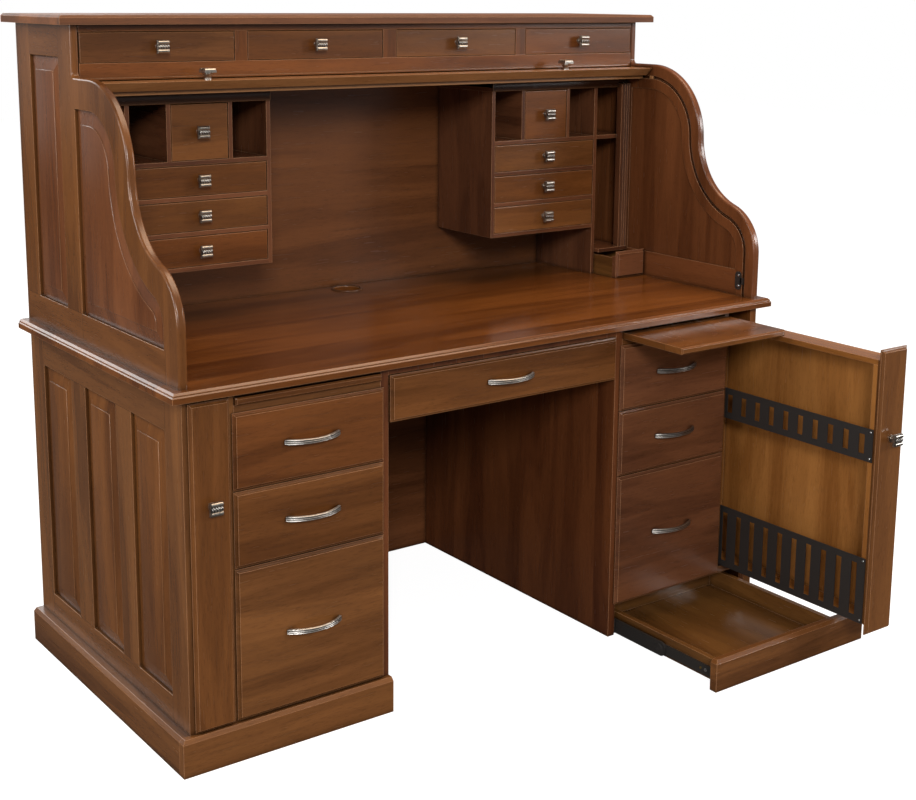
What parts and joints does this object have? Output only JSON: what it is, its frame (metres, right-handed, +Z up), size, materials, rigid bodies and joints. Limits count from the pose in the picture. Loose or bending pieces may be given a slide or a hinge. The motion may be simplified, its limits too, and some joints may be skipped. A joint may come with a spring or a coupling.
{
  "type": "roll-top desk",
  "caption": "S-curve roll-top desk with a tambour cover, drawer pedestals, writing slides, media pull-outs, fitted organizers and a drawer in the plinth.",
  "frame": {"origin": "on the floor, on the centre line, under the middle of the modesty panel", "axes": "+X to the sitter's right, +Y to the back, +Z up"},
  "size_m": [1.602, 1.245, 1.435],
  "materials": {
    "walnut": "satin lacquer",
    "nickel": "brushed nickel",
    "black_steel": "satin black",
    "canvas": "plain weave"
  },
  "bodies": {
    "case": {"back_panels": "walnut", "case_backs": "walnut", "catch_plates": "black_steel", "cord_grommet": "walnut", "desktop": "walnut", "drawer_row_frame": "walnut", "drawer_slides": "black_steel", "inner_sides": "walnut", "organizer_left": "walnut", "organizer_right": "walnut", "pedestal_frame_left": "walnut", "pedestal_frame_right": "walnut", "pedestal_side_left": "walnut", "pedestal_side_panels": "walnut", "pedestal_side_right": "walnut", "plinth": "walnut", "tambour_canvas": "canvas", "tambour_slats": "walnut", "top_board": "walnut", "upper_side_left": "walnut", "upper_side_panels": "walnut", "upper_side_right": "walnut"},
    "top_drawer_1": {"top_drawer_1": "walnut"},
    "top_drawer_2": {"top_drawer_2": "walnut"},
    "top_drawer_3": {"top_drawer_3": "walnut"},
    "top_drawer_4": {"top_drawer_4": "walnut"},
    "left_organizer_small_drawer": {"left_organizer_small_drawer": "walnut"},
    "left_organizer_drawer_1": {"left_organizer_drawer_1": "walnut"},
    "left_organizer_drawer_2": {"left_organizer_drawer_2": "walnut"},
    "left_organizer_drawer_3": {"left_organizer_drawer_3": "walnut"},
    "hidden_drawer_left": {"hidden_drawer_left": "walnut"},
    "left_drawer_1": {"left_drawer_1": "walnut", "left_pull_1": "nickel"},
    "left_drawer_2": {"left_drawer_2": "walnut", "left_pull_2": "nickel"},
    "left_drawer_3": {"left_drawer_3": "walnut", "left_pull_3": "nickel"},
    "writing_slide_left": {"writing_slide_left": "walnut"},
    "media_left": {"media_left": "walnut", "media_pockets_left": "black_steel"},
    "right_organizer_small_drawer": {"right_organizer_small_drawer": "walnut"},
    "right_organizer_drawer_1": {"right_organizer_drawer_1": "walnut"},
    "right_organizer_drawer_2": {"right_organizer_drawer_2": "walnut"},
    "right_organizer_drawer_3": {"right_organizer_drawer_3": "walnut"},
    "hidden_drawer_right": {"hidden_drawer_right": "walnut"},
    "right_drawer_1": {"right_drawer_1": "walnut", "right_pull_1": "nickel"},
    "right_drawer_2": {"right_drawer_2": "walnut", "right_pull_2": "nickel"},
    "right_drawer_3": {"right_drawer_3": "walnut", "right_pull_3": "nickel"},
    "writing_slide_right": {"writing_slide_right": "walnut"},
    "media_right": {"media_right": "walnut", "media_pockets_right": "black_steel"},
    "centre_drawer": {"centre_drawer": "walnut", "centre_pull": "nickel"},
    "base_drawer": {"base_drawer": "walnut"},
    "base_slide": {"base_slide_middle": "black_steel"},
    "lift": {"lift_rail": "walnut", "rail_knobs": "nickel"}
  },
  "joints": [
    {"name": "top_drawer_1_run", "type": "slide", "parent": "case", "child": "top_drawer_1", "axis": [0, -1, 0], "range_m": [0, 0.18]},
    {"name": "top_drawer_2_run", "type": "slide", "parent": "case", "child": "top_drawer_2", "axis": [0, -1, 0], "range_m": [0, 0.18]},
    {"name": "top_drawer_3_run", "type": "slide", "parent": "case", "child": "top_drawer_3", "axis": [0, -1, 0], "range_m": [0, 0.18]},
    {"name": "top_drawer_4_run", "type": "slide", "parent": "case", "child": "top_drawer_4", "axis": [0, -1, 0], "range_m": [0, 0.18]},
    {"name": "left_organizer_small_drawer_run", "type": "slide", "parent": "case", "child": "left_organizer_small_drawer", "axis": [0, -1, 0], "range_m": [0, 0.15]},
    {"name": "left_organizer_drawer_1_run", "type": "slide", "parent": "case", "child": "left_organizer_drawer_1", "axis": [0, -1, 0], "range_m": [0, 0.15]},
    {"name": "left_organizer_drawer_2_run", "type": "slide", "parent": "case", "child": "left_organizer_drawer_2", "axis": [0, -1, 0], "range_m": [0, 0.15]},
    {"name": "left_organizer_drawer_3_run", "type": "slide", "parent": "case", "child": "left_organizer_drawer_3", "axis": [0, -1, 0], "range_m": [0, 0.15]},
    {"name": "hidden_drawer_left_run", "type": "slide", "parent": "case", "child": "hidden_drawer_left", "axis": [0, -1, 0], "range_m": [0, 0.145]},
    {"name": "left_drawer_1_run", "type": "slide", "parent": "case", "child": "left_drawer_1", "axis": [0, -1, 0], "range_m": [0, 0.4]},
    {"name": "left_drawer_2_run", "type": "slide", "parent": "case", "child": "left_drawer_2", "axis": [0, -1, 0], "range_m": [0, 0.4]},
    {"name": "left_drawer_3_run", "type": "slide", "parent": "case", "child": "left_drawer_3", "axis": [0, -1, 0], "range_m": [0, 0.45]},
    {"name": "writing_slide_left_run", "type": "slide", "parent": "case", "child": "writing_slide_left", "axis": [0, -1, 0], "range_m": [0, 0.3]},
    {"name": "media_left_run", "type": "slide", "parent": "case", "child": "media_left", "axis": [0, -1, 0], "range_m": [0, 0.449]},
    {"name": "right_organizer_small_drawer_run", "type": "slide", "parent": "case", "child": "right_organizer_small_drawer", "axis": [0, -1, 0], "range_m": [0, 0.15]},
    {"name": "right_organizer_drawer_1_run", "type": "slide", "parent": "case", "child": "right_organizer_drawer_1", "axis": [0, -1, 0], "range_m": [0, 0.15]},
    {"name": "right_organizer_drawer_2_run", "type": "slide", "parent": "case", "child": "right_organizer_drawer_2", "axis": [0, -1, 0], "range_m": [0, 0.15]},
    {"name": "right_organizer_drawer_3_run", "type": "slide", "parent": "case", "child": "right_organizer_drawer_3", "axis": [0, -1, 0], "range_m": [0, 0.15]},
    {"name": "hidden_drawer_right_run", "type": "slide", "parent": "case", "child": "hidden_drawer_right", "axis": [0, -1, 0], "range_m": [-0.065, 0.08]},
    {"name": "right_drawer_1_run", "type": "slide", "parent": "case", "child": "right_drawer_1", "axis": [0, -1, 0], "range_m": [0, 0.4]},
    {"name": "right_drawer_2_run", "type": "slide", "parent": "case", "child": "right_drawer_2", "axis": [0, -1, 0], "range_m": [0, 0.4]},
    {"name": "right_drawer_3_run", "type": "slide", "parent": "case", "child": "right_drawer_3", "axis": [0, -1, 0], "range_m": [0, 0.45]},
    {"name": "writing_slide_right_run", "type": "slide", "parent": "case", "child": "writing_slide_right", "axis": [0, -1, 0], "range_m": [-0.182, 0.118]},
    {"name": "media_right_run", "type": "slide", "parent": "case", "child": "media_right", "axis": [0, -1, 0], "range_m": [-0.449, 0]},
    {"name": "centre_drawer_run", "type": "slide", "parent": "case", "child": "centre_drawer", "axis": [0, -1, 0], "range_m": [0, 0.36]},
    {"name": "base_drawer_run", "type": "slide", "parent": "case", "child": "base_drawer", "axis": [0, -1, 0], "range_m": [-0.334, 0.03]},
    {"name": "base_slide_run", "type": "slide", "parent": "case", "child": "base_slide", "axis": [0, -1, 0], "range_m": [-0.167, 0.015]},
    {"name": "lift_swing", "type": "hinge", "parent": "case", "child": "lift", "pos_m": [0, -0.3795, 1.132], "axis": [1, 0, 0], "range_deg": [0, 80]}
  ],
  "couplings": [
    {"joint": "base_slide_run", "follows": "base_drawer_run", "ratio": 0.5}
  ]
}
